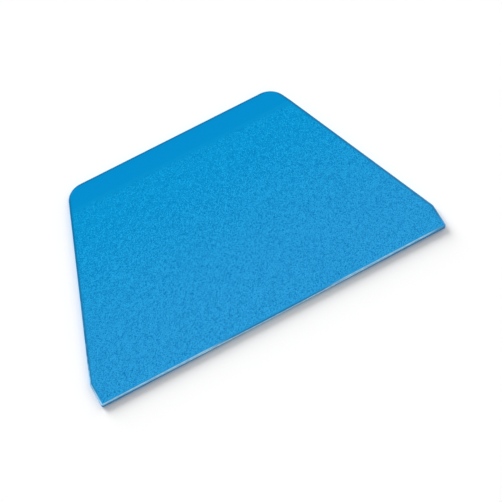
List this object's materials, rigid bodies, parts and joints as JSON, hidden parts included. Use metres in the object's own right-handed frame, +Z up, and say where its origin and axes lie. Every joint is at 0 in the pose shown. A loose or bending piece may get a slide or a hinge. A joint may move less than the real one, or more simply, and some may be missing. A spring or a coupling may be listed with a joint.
{
  "type": "squeegee applicator card",
  "caption": "Flat trapezoid hand squeegee, moulded in one piece, with a long straight working edge, a grained face and a smooth tapered lip along the short edge.",
  "frame": {"origin": "middle of the card's bounding rectangle, on the plane that its flat underside rests on", "axes": "+X along the long working edge, +Y from the long working edge to the short tapered lip, +Z up out of the grained face"},
  "size_m": [0.15, 0.087, 0.0022],
  "materials": {
    "blue_plastic": "satin"
  },
  "bodies": {
    "root": {"applicator_card": "blue_plastic"}
  },
  "joints": []
}
